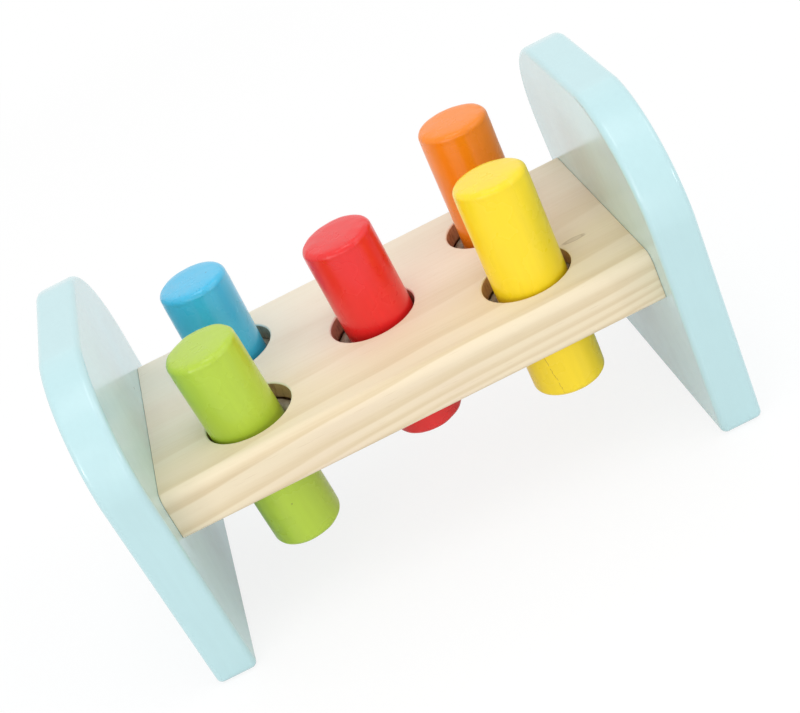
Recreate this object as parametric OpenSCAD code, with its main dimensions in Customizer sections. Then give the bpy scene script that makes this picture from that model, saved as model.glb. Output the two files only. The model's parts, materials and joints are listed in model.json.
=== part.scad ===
// Peg pounding bench: a pine bench board between two painted end boards, with
// painted pegs that are driven through its holes against elastic rings.
// Sizes are in millimetres and angles in degrees. +Z is up, +X runs along the
// bench to the right and +Y runs to the back. The origin is on the floor under
// the middle of the bench.

/* [Bench board] */
// Length of the bench board between the end boards
board_length = 172; // [168:0.5:182]
// Depth of the bench board from front to back
board_depth = 96.2; // [94:0.1:104]
// Thickness of the bench board
board_thickness = 17.6; // [16.5:0.1:20]
// Height of the bench board's upper face above the floor
board_top_height = 70.5; // [67:0.5:75]
// Radius along the two upper long edges
upper_edge_radius = 4; // [2:0.1:5]
// Radius along the two lower long edges
lower_edge_radius = 1.6; // [0.8:0.1:2.5]

/* [Peg holes] */
// Distance of the outer holes from the middle, as a share of the bench board's length
hole_reach_share = 0.295; // [0.285:0.001:0.3]
// Distance of the outer holes from the middle, as a share of the bench board's depth
hole_offset_share = 0.241; // [0.236:0.001:0.25]
// Diameter of a peg hole
hole_diameter = 31; // [30.6:0.1:31.6]
// Width and depth of the eased rim of a peg hole
rim_ease = 0.7; // [0.3:0.1:1]

/* [Grip rings] */
// Thickness of the round section of a grip ring
ring_section = 4.9; // [4.2:0.1:5.2]
// Gap above and below a grip ring in its groove
ring_side_gap = 0.05; // [0.03:0.01:0.15]
// Share of the room around a peg by which its ring can move sideways in the groove
ring_float_share = 0.75; // [0.72:0.01:0.8]

/* [Pegs] */
// Diameter of a peg
peg_diameter = 25.2; // [24.8:0.1:25.4]
// Length of a peg
peg_length = 80; // [77:0.5:84]
// Radius around both ends of a peg
peg_end_radius = 3.4; // [1.5:0.1:5]

/* [Blue peg] */
// Height of the blue peg above the bench board
blue_stand = 32; // [29:0.5:42]
// Lean of the blue peg to the right
blue_lean = 0.6; // [-2.5:0.1:2.5]
// Sideways place of the blue peg, as a share of the room in its hole
blue_side_share = -0.14; // [-0.65:0.01:0.65]

/* [Green peg] */
// Height of the green peg above the bench board
green_stand = 30.5; // [29:0.5:42]
// Lean of the green peg to the right
green_lean = -2.4; // [-2.5:0.1:2.5]
// Sideways place of the green peg, as a share of the room in its hole
green_side_share = -0.65; // [-0.65:0.01:0.65]

/* [Red peg] */
// Height of the red peg above the bench board
red_stand = 33.5; // [29:0.5:42]
// Lean of the red peg to the right
red_lean = -1.9; // [-2.5:0.1:2.5]
// Sideways place of the red peg, as a share of the room in its hole
red_side_share = 0.65; // [-0.65:0.01:0.65]

/* [Orange peg] */
// Height of the orange peg above the bench board
orange_stand = 41.5; // [29:0.5:42]
// Lean of the orange peg to the right
orange_lean = 1; // [-2.5:0.1:2.5]
// Sideways place of the orange peg, as a share of the room in its hole
orange_side_share = 0.56; // [-0.65:0.01:0.65]

/* [Yellow peg] */
// Height of the yellow peg above the bench board
yellow_stand = 38; // [29:0.5:42]
// Lean of the yellow peg to the right
yellow_lean = 0.9; // [-1.5:0.1:1.5]
// Lean of the yellow peg to the back
yellow_back_lean = 3; // [0:0.1:3]
// Sideways place of the yellow peg, as a share of the room in its hole
yellow_side_share = 0.16; // [-0.2:0.01:0.2]
// Place of the yellow peg towards the back, as a share of the room in its hole
yellow_back_share = -0.56; // [-0.56:0.01:0.2]

/* [End boards] */
// Thickness of an end board
end_thickness = 14.6; // [13.5:0.1:16]
// Height of an end board
end_height = 120.5; // [118:0.5:126]
// Width of an end board across its foot
foot_width = 111; // [109:0.5:116]
// Outward slope of the two sides of an end board
side_slope = 3.7; // [2:0.1:5]
// Radius of the two shoulders of an end board
shoulder_radius = 40; // [32:0.5:44]
// Angle at which a shoulder breaks from the flat top and from the side
shoulder_break = 6; // [5.5:0.1:9]
// Width and height of the eased corners of the foot
foot_corner_ease = 1.2; // [0.6:0.1:2]
// Radius along the edges of the two faces of an end board
face_edge_radius = 2.2; // [1:0.1:3]

/* [Dowels] */
// Diameter of a dowel
dowel_diameter = 8; // [6:0.5:8]
// Length of a dowel inside the bench board
dowel_in_board = 13; // [10:0.5:14]
// Length of a dowel inside an end board
dowel_in_end = 10; // [8:0.5:10.5]
// Distance of the outer dowels from the middle dowel, as a share of the bench board's depth
dowel_spacing_share = 0.374; // [0.33:0.001:0.39]
// Width of the slope at both ends of a dowel
dowel_end_slope = 0.8; // [0.4:0.1:1.2]
// Gap between the end of a dowel and the bottom of its bore
dowel_end_gap = 0.5; // [0.3:0.1:1]

/* [Fits] */
// Gap all round a peg in its ring and a dowel in its bore
fit_gap = 0.06; // [0.05:0.01:0.09]

/* [Hidden] */
$fn = 96;

// How far every cut runs past the face that it opens
overrun = 1;

half_length = board_length / 2;
half_depth = board_depth / 2;
board_middle = board_top_height - board_thickness / 2;
board_underside = board_top_height - board_thickness;

hole_reach = hole_reach_share * board_length;
hole_offset = hole_offset_share * board_depth;
hole_radius = hole_diameter / 2;
peg_radius = peg_diameter / 2;
hole_room = hole_radius - peg_radius;
blue_hole = [-hole_reach, hole_offset];
green_hole = [-hole_reach, -hole_offset];
red_hole = [0, 0];
orange_hole = [hole_reach, hole_offset];
yellow_hole = [hole_reach, -hole_offset];
holes = [blue_hole, green_hole, red_hole, orange_hole, yellow_hole];

// Each peg's place on the middle plane of the bench board, where its ring lies
blue_place = blue_hole + hole_room * [blue_side_share, 0];
green_place = green_hole + hole_room * [green_side_share, 0];
red_place = red_hole + hole_room * [red_side_share, 0];
orange_place = orange_hole + hole_room * [orange_side_share, 0];
yellow_place = yellow_hole + hole_room * [yellow_side_share, yellow_back_share];

ring_radius = peg_radius + fit_gap + ring_section / 2;
groove_radius = ring_radius + ring_section / 2 + ring_float_share * hole_room;
groove_height = ring_section + 2 * ring_side_gap;

// An end board's sides run on to its top, where the shoulders cut them off
half_foot = foot_width / 2;
half_top = half_foot + end_height * tan(side_slope);
side_length = end_height / cos(side_slope);
// The shoulder circle crosses the flat top and the sloping side at the same angle
shoulder_depth = shoulder_radius * cos(shoulder_break);
shoulder_height = end_height - shoulder_depth;
shoulder_side = half_foot + shoulder_height * tan(side_slope) - shoulder_depth / cos(side_slope);
// Upper end of the eased foot corner, on the sloping side
corner_end = [half_foot + foot_corner_ease * tan(side_slope), foot_corner_ease];

dowel_spacing = dowel_spacing_share * board_depth;
dowel_radius = dowel_diameter / 2;
dowel_length = dowel_in_board + dowel_in_end;

pine = [0.90, 0.81, 0.66];
aqua = [0.74, 0.89, 0.90];
blue = [0.12, 0.55, 0.66];
green = [0.66, 0.80, 0.22];
red = [0.90, 0.20, 0.18];
orange = [0.95, 0.48, 0.12];
yellow = [0.95, 0.80, 0.10];
milky = [0.90, 0.88, 0.82];
beech = [0.85, 0.70, 0.50];

// The bench board's section across its length, with its underside on the first axis
module board_section() {
  band = board_thickness - upper_edge_radius - lower_edge_radius;
  translate([-half_depth, lower_edge_radius])
    square([board_depth, band]);
  translate([upper_edge_radius - half_depth, board_thickness - upper_edge_radius])
    square([board_depth - 2 * upper_edge_radius, upper_edge_radius]);
  translate([lower_edge_radius - half_depth, 0])
    square([board_depth - 2 * lower_edge_radius, lower_edge_radius]);
  for (side = [-1, 1]) {
    translate([side * (half_depth - upper_edge_radius), board_thickness - upper_edge_radius])
      circle(r = upper_edge_radius);
    translate([side * (half_depth - lower_edge_radius), lower_edge_radius])
      circle(r = lower_edge_radius);
  }
}

// One through hole with its ring groove and eased rims, on the middle plane
module hole_cut() {
  rim_height = board_thickness / 2 - rim_ease;
  cylinder(r = hole_radius, h = board_thickness + 2 * overrun, center = true);
  cylinder(r = groove_radius, h = groove_height, center = true);
  for (side = [0, 1])
    mirror([0, 0, side])
      translate([0, 0, rim_height])
        cylinder(r1 = hole_radius, r2 = hole_radius + rim_ease + overrun, h = rim_ease + overrun);
}

// Places its children at the bench's three dowels on the right, with +Z outwards
module at_dowels() {
  for (step = [-1, 0, 1])
    translate([half_length, step * dowel_spacing, board_middle])
      rotate([0, 90, 0])
        children();
}

// The bores for the three dowels on the right, through the seam
module dowel_bores() {
  at_dowels()
    translate([0, 0, -dowel_in_board - dowel_end_gap])
      cylinder(r = dowel_radius + fit_gap, h = dowel_length + 2 * dowel_end_gap);
}

module bench_board() {
  color(pine)
    difference() {
      translate([0, 0, board_underside])
        rotate([90, 0, 90])
          linear_extrude(board_length, center = true)
            board_section();
      for (place = holes)
        translate([place[0], place[1], board_middle])
          hole_cut();
      for (side = [0, 1])
        mirror([side, 0, 0])
          dowel_bores();
    }
}

// The outline of an end board, foot on the first axis
module end_outline() {
  difference() {
    polygon([
      [foot_corner_ease - half_foot, 0], [half_foot - foot_corner_ease, 0],
      corner_end, [half_top, end_height],
      [-half_top, end_height], [-corner_end[0], corner_end[1]]
    ]);
    for (side = [0, 1])
      mirror([side, 0])
        translate([shoulder_side, shoulder_height])
          difference() {
            square(half_top);
            circle(r = shoulder_radius);
          }
  }
}

// What a rounded edge takes away from a square corner at the origin
module edge_section() {
  difference() {
    translate([-face_edge_radius, -face_edge_radius])
      square(face_edge_radius + overrun);
    translate([-face_edge_radius, -face_edge_radius])
      circle(r = face_edge_radius);
  }
}

// A straight edge cut that starts at the origin and runs to -Y, outside on +X
module straight_cut(length) {
  rotate([90, 0, 0])
    linear_extrude(length)
      edge_section();
}

// The edge cuts along one face of an end board, the face on the origin plane
module face_cuts() {
  translate([-half_top, end_height])
    rotate([0, 0, 90])
      straight_cut(2 * half_top);
  translate([half_foot + overrun, 0])
    rotate([0, 0, -90])
      straight_cut(foot_width + 2 * overrun);
  for (side = [0, 1])
    mirror([side, 0, 0]) {
      translate([half_top, end_height])
        rotate([0, 0, -side_slope])
          straight_cut(side_length);
      translate([shoulder_side, shoulder_height])
        rotate_extrude(angle = 90)
          translate([shoulder_radius, 0])
            edge_section();
    }
}

// The right end board, its inner face against the bench board
module end_board() {
  difference() {
    translate([half_length + end_thickness / 2, 0, 0])
      rotate([90, 0, 90])
        difference() {
          linear_extrude(end_thickness, center = true)
            end_outline();
          for (side = [0, 1])
            mirror([0, 0, side])
              translate([0, 0, end_thickness / 2])
                face_cuts();
        }
    dowel_bores();
  }
}

module right_end_board() {
  color(aqua)
    end_board();
}

module left_end_board() {
  color(aqua)
    mirror([1, 0, 0])
      end_board();
}

// A peg with its upper end at the given height above the origin
module peg(top) {
  inner = peg_radius - peg_end_radius;
  translate([0, 0, top - peg_length])
    rotate_extrude()
      intersection() {
        square([peg_radius, peg_length]);
        union() {
          square([inner, peg_length]);
          translate([0, peg_end_radius])
            square([peg_radius, peg_length - 2 * peg_end_radius]);
          translate([inner, peg_end_radius])
            circle(r = peg_end_radius);
          translate([inner, peg_length - peg_end_radius])
            circle(r = peg_end_radius);
        }
      }
}

// A peg at its place in the bench board, leaning to the right and to the back
module standing_peg(place, stand, lean, back_lean) {
  translate([place[0], place[1], board_middle])
    rotate([-back_lean, lean, 0])
      peg(stand + board_thickness / 2);
}

module blue_peg() {
  color(blue)
    standing_peg(blue_place, blue_stand, blue_lean, 0);
}

module green_peg() {
  color(green)
    standing_peg(green_place, green_stand, green_lean, 0);
}

module red_peg() {
  color(red)
    standing_peg(red_place, red_stand, red_lean, 0);
}

module orange_peg() {
  color(orange)
    standing_peg(orange_place, orange_stand, orange_lean, 0);
}

module yellow_peg() {
  color(yellow)
    standing_peg(yellow_place, yellow_stand, yellow_lean, yellow_back_lean);
}

// A grip ring around the peg at the given place
module ring(place) {
  color(milky)
    translate([place[0], place[1], board_middle])
      rotate_extrude()
        translate([ring_radius, 0])
          circle(d = ring_section);
}

module blue_ring() {
  ring(blue_place);
}

module green_ring() {
  ring(green_place);
}

module red_ring() {
  ring(red_place);
}

module orange_ring() {
  ring(orange_place);
}

module yellow_ring() {
  ring(yellow_place);
}

// One dowel across the seam on the right, a number of spacings from the middle
module dowel(step) {
  inner = dowel_radius - dowel_end_slope;
  color(beech)
    translate([half_length, step * dowel_spacing, board_middle])
      rotate([0, 90, 0])
        translate([0, 0, -dowel_in_board])
          rotate_extrude()
            polygon([
              [0, 0], [inner, 0], [dowel_radius, dowel_end_slope],
              [dowel_radius, dowel_length - dowel_end_slope],
              [inner, dowel_length], [0, dowel_length]
            ]);
}

module right_front_dowel() {
  dowel(-1);
}

module right_middle_dowel() {
  dowel(0);
}

module right_back_dowel() {
  dowel(1);
}

module left_front_dowel() {
  mirror([1, 0, 0])
    dowel(-1);
}

module left_middle_dowel() {
  mirror([1, 0, 0])
    dowel(0);
}

module left_back_dowel() {
  mirror([1, 0, 0])
    dowel(1);
}

bench_board();
left_end_board();
right_end_board();
blue_peg();
green_peg();
red_peg();
orange_peg();
yellow_peg();
blue_ring();
green_ring();
red_ring();
orange_ring();
yellow_ring();
left_front_dowel();
left_middle_dowel();
left_back_dowel();
right_front_dowel();
right_middle_dowel();
right_back_dowel();
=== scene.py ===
"""Looks of the peg pounding bench: meshes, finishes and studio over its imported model.

Everything is in metres in the model's own frame: +X runs along the bench to the
right, +Y to the back, +Z up, and the floor lies at zero height. Only the shaders
of the bench's finishes take their places in millimetres.
"""
import json
import logging
import math
from dataclasses import dataclass
from enum import Enum
from typing import Any, Callable, Iterable, Optional, Sequence

import bmesh
import bpy
from mathutils import Euler, Matrix, Vector, noise


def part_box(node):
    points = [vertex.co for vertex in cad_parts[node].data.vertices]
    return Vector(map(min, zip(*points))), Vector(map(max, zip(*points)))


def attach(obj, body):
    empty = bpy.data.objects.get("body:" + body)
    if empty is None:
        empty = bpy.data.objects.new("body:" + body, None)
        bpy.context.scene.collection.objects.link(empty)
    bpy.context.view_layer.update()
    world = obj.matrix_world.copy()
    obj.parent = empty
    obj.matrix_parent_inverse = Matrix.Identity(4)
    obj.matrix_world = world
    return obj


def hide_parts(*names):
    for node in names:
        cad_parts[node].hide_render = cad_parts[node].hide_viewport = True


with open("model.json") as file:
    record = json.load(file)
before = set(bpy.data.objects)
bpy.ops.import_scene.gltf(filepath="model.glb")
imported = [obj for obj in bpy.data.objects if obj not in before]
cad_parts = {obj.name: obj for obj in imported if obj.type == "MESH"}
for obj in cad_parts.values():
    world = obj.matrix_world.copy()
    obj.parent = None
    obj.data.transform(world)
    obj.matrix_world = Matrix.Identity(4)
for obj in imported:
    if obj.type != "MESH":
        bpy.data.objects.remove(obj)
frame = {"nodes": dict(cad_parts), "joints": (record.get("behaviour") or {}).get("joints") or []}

LOG = logging.getLogger("peg_bench")

Rgba = tuple[float, float, float, float]
Point = tuple[float, float, float]
Span = tuple[float, float]
Socket = bpy.types.NodeSocket
Edge = bmesh.types.BMEdge
Vert = bmesh.types.BMVert

MM = 0.001
NEAR = 1e-6
NOISE_MIDDLE = 0.5

# Sizes that several pieces share
BOARD_LENGTH = 172 * MM
BOARD_DEPTH = 96.2 * MM
BOARD_THICKNESS = 17.6 * MM
BOARD_TOP = 70.5 * MM
PEG_RADIUS = 12.6 * MM

# Places of the dowels and holes, as shares of the board's depth and length
DOWEL_SPREAD = 0.374
HOLE_REACH = 0.295
HOLE_OFFSET = 0.241

# Steps of a full turn
FINE_TURN = 96
RING_TURN = 80
BORE_TURN = 32


class PegColour(Enum):
    """The five pegs, by the colour of their paint."""

    BLUE = "blue"
    GREEN = "green"
    RED = "red"
    ORANGE = "orange"
    YELLOW = "yellow"


class Side(Enum):
    """The two ends of the bench, with the sign of their X."""

    LEFT = -1
    RIGHT = 1


def tint(red: int, green: int, blue: int) -> Rgba:
    """Turns a paint-card colour into the linear colour that a shader takes, by the sRGB formula.

    Args:
        red: Red from 0 to 255.
        green: Green from 0 to 255.
        blue: Blue from 0 to 255.

    Returns:
        The colour as linear red, green, blue and a full alpha.
    """
    shares = [c / 255 for c in (red, green, blue)]
    linear = [s / 12.92 if s <= 0.04045 else ((s + 0.055) / 1.055) ** 2.4 for s in shares]
    return (linear[0], linear[1], linear[2], 1.0)


def grey(level: float) -> Rgba:
    """Returns a linear grey with a full alpha."""
    return (level, level, level, 1.0)


# Node trees


class Wiring:
    """Short calls that add nodes to one node tree and join their sockets."""

    # Inputs of Blender's mix node when it mixes colours
    MIX_SHARE, MIX_FIRST, MIX_SECOND = 0, 6, 7

    def __init__(self, tree: bpy.types.NodeTree) -> None:
        """Keeps the tree that the calls add to."""
        self.tree = tree

    def feed(self, socket: Socket, value: Any) -> None:
        """Joins another socket to this one, or sets this one's own value."""
        if isinstance(value, bpy.types.NodeSocket):
            self.tree.links.new(value, socket)
        else:
            socket.default_value = value

    def add(self, kind: str, feeds: Optional[dict[Any, Any]] = None, **settings: Any) -> bpy.types.Node:
        """Adds a node.

        Args:
            kind: Blender's name of the node type.
            feeds: What goes into the node's inputs, by socket name or index.
            **settings: The node's own settings.

        Returns:
            The new node.
        """
        node = self.tree.nodes.new(kind)
        for key, value in settings.items():
            setattr(node, key, value)
        for key, value in (feeds or {}).items():
            self.feed(node.inputs[key], value)
        return node

    def group(self, tree: bpy.types.NodeTree, feeds: dict[str, Any]) -> bpy.types.Node:
        """Adds a shared node group and feeds its inputs by name."""
        return self.add("ShaderNodeGroup", feeds, node_tree=tree)

    def math(self, operation: str, *values: Any, clamp: bool = False) -> Socket:
        """Adds one step of arithmetic and returns its result."""
        node = self.add("ShaderNodeMath", dict(enumerate(values)), operation=operation, use_clamp=clamp)
        return node.outputs[0]

    def plus(self, first: Any, second: Any) -> Socket:
        """Returns the sum of two values."""
        return self.math("ADD", first, second)

    def minus(self, first: Any, second: Any) -> Socket:
        """Returns the first value less the second."""
        return self.math("SUBTRACT", first, second)

    def times(self, first: Any, second: Any) -> Socket:
        """Returns the product of two values."""
        return self.math("MULTIPLY", first, second)

    def vector(self, operation: str, *values: Any) -> Socket:
        """Adds one step of vector arithmetic and returns its vector."""
        node = self.add("ShaderNodeVectorMath", dict(enumerate(values)), operation=operation)
        return node.outputs["Vector"]

    def stretch(self, place: Any, scale: Point) -> Socket:
        """Returns a place stretched along the three axes."""
        return self.vector("MULTIPLY", place, scale)

    def reach(self, value: Any) -> Socket:
        """Returns the length of a vector."""
        return self.add("ShaderNodeVectorMath", {0: value}, operation="LENGTH").outputs["Value"]

    def along(self, value: Any, direction: Point) -> Socket:
        """Returns how far a vector goes in a direction."""
        node = self.add("ShaderNodeVectorMath", {0: value, 1: direction}, operation="DOT_PRODUCT")
        return node.outputs["Value"]

    def parts(self, value: Any) -> tuple[Socket, Socket, Socket]:
        """Returns the X, Y and Z of a vector."""
        outs = self.add("ShaderNodeSeparateXYZ", {0: value}).outputs
        return outs[0], outs[1], outs[2]

    def noise(self, place: Any, scale: float, detail: float = 2.0, rough: float = 0.5) -> Socket:
        """Adds a noise of the given scale and returns its value, about 0.5 on average."""
        feeds = {"Vector": place, "Scale": scale, "Detail": detail, "Roughness": rough}
        return self.add("ShaderNodeTexNoise", feeds).outputs[0]

    def grain(self, place: Any, scale: Point, detail: float = 2.0, rough: float = 0.5) -> Socket:
        """Adds a noise with a scale of its own along each axis and returns its value."""
        return self.noise(self.stretch(place, scale), 1.0, detail, rough)

    def sway(self, value: Any, amount: Any) -> Socket:
        """Returns a noise set to swing around zero, times an amount."""
        return self.times(self.minus(value, NOISE_MIDDLE), amount)

    def rise(self, value: Any, low: float, high: float, start: float = 0.0, end: float = 1.0) -> Socket:
        """Maps a value smoothly and held at both ends.

        Args:
            value: The value that is mapped.
            low: Where the smooth step begins.
            high: Where it ends.
            start: The result at and before low.
            end: The result at and after high.

        Returns:
            The mapped value.
        """
        feeds = {"Value": value, "From Min": low, "From Max": high, "To Min": start, "To Max": end}
        return self.add("ShaderNodeMapRange", feeds, interpolation_type="SMOOTHSTEP").outputs[0]

    def fall(self, value: Any, low: float, high: float) -> Socket:
        """Maps a value smoothly from 1 at and before low to 0 at and after high."""
        return self.rise(value, low, high, 1.0, 0.0)

    def blend(self, share: Any, first: Any, second: Any, how: str = "MIX") -> Socket:
        """Mixes two colours.

        Args:
            share: How much of the second colour shows, from 0 to 1.
            first: The colour at share 0.
            second: The colour at share 1, or the one that is blended in.
            how: Blender's name of the blending.

        Returns:
            The mixed colour.
        """
        feeds = {self.MIX_SHARE: share, self.MIX_FIRST: first, self.MIX_SECOND: second}
        return self.add("ShaderNodeMix", feeds, data_type="RGBA", blend_type=how).outputs[2]

    def bump(self, strength: float, distance: float, height: Socket) -> Socket:
        """Returns the normal of a surface with the given height on it."""
        feeds = {"Strength": strength, "Distance": distance, "Height": height}
        return self.add("ShaderNodeBump", feeds).outputs[0]

    def attribute(self, name: str) -> Socket:
        """Returns a value that the mesh carries at its vertices."""
        return self.add("ShaderNodeAttribute", None, attribute_name=name).outputs["Fac"]

    def object_place(self, centre: Point = (0, 0, 0), turn: Point = (0, 0, 0)) -> Socket:
        """Returns the object place in millimetres, seen from a centre and a turned frame.

        Args:
            centre: The frame's origin, in metres.
            turn: The frame's turn, as an XYZ Euler in radians.

        Returns:
            The place in the frame, in millimetres.
        """
        place = self.add("ShaderNodeTexCoord").outputs["Object"]
        feeds = {"Vector": place, "Location": centre, "Rotation": turn, "Scale": (MM, MM, MM)}
        return self.add("ShaderNodeMapping", feeds, vector_type="TEXTURE").outputs[0]


def empty_tree(owner: Any) -> Wiring:
    """Gives a material or a world an empty node tree and returns its wiring."""
    owner.use_nodes = True
    owner.node_tree.nodes.clear()
    return Wiring(owner.node_tree)


def open_material(name: str) -> tuple[bpy.types.Material, Wiring, bpy.types.Node]:
    """Starts a material with an empty Principled shader.

    Args:
        name: The material's name.

    Returns:
        The material, its wiring and the shader node.
    """
    material = bpy.data.materials.new(name)
    w = empty_tree(material)
    shader = w.add("ShaderNodeBsdfPrincipled")
    w.add("ShaderNodeOutputMaterial", {"Surface": shader.outputs[0]})
    return material, w, shader


class Effects:
    """The shared surface effects, each a shader node group that is built once."""

    SOCKETS = {"value": "NodeSocketFloat", "vector": "NodeSocketVector", "colour": "NodeSocketColor"}

    # Grain: the scale of each noise along, across and up the plank, per millimetre
    WANDER_GRAIN: Point = (0.011, 0.035, 0.035)
    COARSE_GRAIN: Point = (0.012, 0.7, 0.7)
    FINE_GRAIN: Point = (0.03, 2.6, 2.6)
    PORE_GRAIN: Point = (0.1, 2.4, 2.4)
    CLOUD_GRAIN: Point = (0.012, 0.03, 0.03)
    COARSE_SHARE = 0.62
    PORE_STEP: Span = (0.64, 0.76)

    # Paint: the scale of each noise per millimetre, how far it swings and how high it stands
    PATCH_SCALE = 0.07
    PATCH_SWING = 0.7
    GLOSS_SWING = 0.16
    STROKE_GRAIN: Point = (0.55, 0.55, 0.03)
    STROKE_SWING = 0.8
    STROKE_HEIGHT = 0.18
    PEEL_SCALE = 0.5
    PEEL_HEIGHT = 0.12
    LUMP_SCALE = 0.3
    LUMP_HEIGHT = 10.0
    BLISTER_SCALE = 0.75
    BLISTER_EDGE: Span = (0.1, 0.34)
    BLISTER_GROUPS: Span = (0.5, 0.58)

    # Spots: how ragged they are and where their edge fades, as shares of the radius
    RAGGED_SCALE = 3.0
    RAGGED_SWING = 0.3
    SPOT_EDGE: Span = (0.55, 1.1)

    def __init__(self) -> None:
        """Builds the groups."""
        self.wood_fibre = self._wood_fibre()
        self.brushed_coat = self._brushed_coat()
        self.fleck = self._fleck()

    def _open(
        self, name: str, inputs: dict[str, str], outputs: dict[str, str]
    ) -> tuple[Wiring, bpy.types.NodeOutputs, bpy.types.Node]:
        """Starts a node group.

        Args:
            name: The group's name.
            inputs: Kind of each input, by name.
            outputs: Kind of each output, by name.

        Returns:
            The group's wiring, what its inputs give, and its output node.
        """
        tree = bpy.data.node_groups.new(name, "ShaderNodeTree")
        for way, sockets in (("INPUT", inputs), ("OUTPUT", outputs)):
            for label, kind in sockets.items():
                tree.interface.new_socket(label, in_out=way, socket_type=self.SOCKETS[kind])
        w = Wiring(tree)
        return w, w.add("NodeGroupInput").outputs, w.add("NodeGroupOutput")

    def _close(self, w: Wiring, end: bpy.types.Node, results: dict[str, Socket]) -> bpy.types.NodeTree:
        """Feeds a group's outputs by name and returns the finished group."""
        for label, value in results.items():
            w.feed(end.inputs[label], value)
        return w.tree

    def _wood_fibre(self) -> bpy.types.NodeTree:
        """Builds the grain of a plank whose fibres run along X.

        Returns:
            A group that gives the wandering distance from the pith, fine fibre
            lines, short dark pores and soft clouds.
        """
        w, given, end = self._open(
            "wood_fibre",
            {"Place": "vector", "Wander": "value", "Drift": "value"},
            {"Ring Distance": "value", "Fibre": "value", "Pores": "value", "Clouds": "value"},
        )
        place = given["Place"]
        along, across, up = w.parts(place)
        flat = w.add("ShaderNodeCombineXYZ", {0: 0.0, 1: across, 2: up}).outputs[0]
        wander = w.sway(w.grain(place, self.WANDER_GRAIN, detail=3.0, rough=0.45), given["Wander"])
        distance = w.plus(w.plus(w.reach(flat), w.times(along, given["Drift"])), wander)
        coarse = w.grain(place, self.COARSE_GRAIN, detail=4.0, rough=0.62)
        fine = w.grain(place, self.FINE_GRAIN, rough=0.6)
        fibre = w.plus(w.times(coarse, self.COARSE_SHARE), w.times(fine, 1 - self.COARSE_SHARE))
        pores = w.rise(w.grain(place, self.PORE_GRAIN, rough=0.55), *self.PORE_STEP)
        clouds = w.grain(place, self.CLOUD_GRAIN)
        results = {"Ring Distance": distance, "Fibre": fibre, "Pores": pores, "Clouds": clouds}
        return self._close(w, end, results)

    def _brushed_coat(self) -> bpy.types.NodeTree:
        """Builds a thin coat of paint on wood, brushed along Z, with lumps where it ends.

        Returns:
            A group that gives the coat's colour, roughness and height.
        """
        w, given, end = self._open(
            "brushed_coat",
            {
                "Place": "vector", "Colour": "colour", "Unevenness": "value", "Gloss": "value",
                "Ends": "value", "Blisters": "value",
            },
            {"Colour": "colour", "Roughness": "value", "Height": "value"},
        )
        place = given["Place"]
        patches = w.noise(place, self.PATCH_SCALE, detail=3.0)
        strokes = w.grain(place, self.STROKE_GRAIN, detail=3.0)
        swing = w.plus(w.sway(patches, self.PATCH_SWING), w.sway(strokes, self.STROKE_SWING))
        level = w.plus(1.0, w.times(swing, given["Unevenness"]))
        colour = w.blend(1.0, given["Colour"], level, "MULTIPLY")
        rough = w.plus(given["Gloss"], w.sway(patches, self.GLOSS_SWING))

        lump = w.noise(place, self.LUMP_SCALE)
        cells = w.add("ShaderNodeTexVoronoi", {"Vector": place, "Scale": self.BLISTER_SCALE})
        dots = w.fall(cells.outputs["Distance"], *self.BLISTER_EDGE)
        dots = w.times(dots, w.rise(lump, *self.BLISTER_GROUPS))
        lumps = w.plus(w.times(lump, self.LUMP_HEIGHT), w.times(dots, given["Blisters"]))
        peel = w.noise(place, self.PEEL_SCALE)
        height = w.plus(w.times(strokes, self.STROKE_HEIGHT), w.times(peel, self.PEEL_HEIGHT))
        height = w.plus(height, w.times(lumps, given["Ends"]))
        return self._close(w, end, {"Colour": colour, "Roughness": rough, "Height": height})

    def _fleck(self) -> bpy.types.NodeTree:
        """Builds one small ragged spot.

        Returns:
            A group that gives the spot's mask, 1 inside.
        """
        w, given, end = self._open(
            "fleck", {"Place": "vector", "Centre": "vector", "Radius": "value"}, {"Mask": "value"}
        )
        place = given["Place"]
        far = w.reach(w.vector("SUBTRACT", place, given["Centre"]))
        ragged = w.plus(far, w.sway(w.noise(place, self.RAGGED_SCALE), self.RAGGED_SWING))
        share = w.math("DIVIDE", ragged, given["Radius"])
        return self._close(w, end, {"Mask": w.fall(share, *self.SPOT_EDGE)})


# Finishes


@dataclass(frozen=True)
class Fleck:
    """A small dark spot in a coat, placed in the piece's own millimetres."""

    place: Point
    radius: float
    colour: Rgba


@dataclass(frozen=True)
class Crack:
    """A hair crack in a peg: a slanting, broken line over the height from low to high."""

    direction: Point
    offset: float
    facing: Point
    low: float
    high: float
    colour: Rgba
    share: float = 0.7
    depth: float = 1.2
    fade: float = 1.5
    edge: Span = (0.05, 0.17)
    wobble: float = 2.2
    wobble_scale: float = 0.42
    break_scale: float = 0.5
    break_step: Span = (0.36, 0.52)

    def mask(self, w: Wiring, place: Socket) -> Socket:
        """Draws the crack.

        Args:
            w: The material's wiring.
            place: The place in the peg's own frame, in millimetres.

        Returns:
            The crack's mask, 1 inside.
        """
        height = w.parts(place)[2]
        level = w.add("ShaderNodeCombineXYZ", {2: height}).outputs[0]
        wobble = w.sway(w.noise(level, self.wobble_scale, detail=3.0, rough=0.6), self.wobble)
        line = w.plus(w.plus(w.along(place, self.direction), self.offset), wobble)
        thin = w.fall(w.math("ABSOLUTE", line), *self.edge)
        broken = w.rise(w.noise(level, self.break_scale, rough=0.6), *self.break_step)
        begun = w.rise(height, self.low, self.low + self.fade)
        open_still = w.fall(height, self.high - self.fade, self.high)
        facing = w.math("GREATER_THAN", w.along(place, self.facing), 0.0)
        return w.times(w.times(thin, broken), w.times(w.times(begun, open_still), facing))


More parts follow.
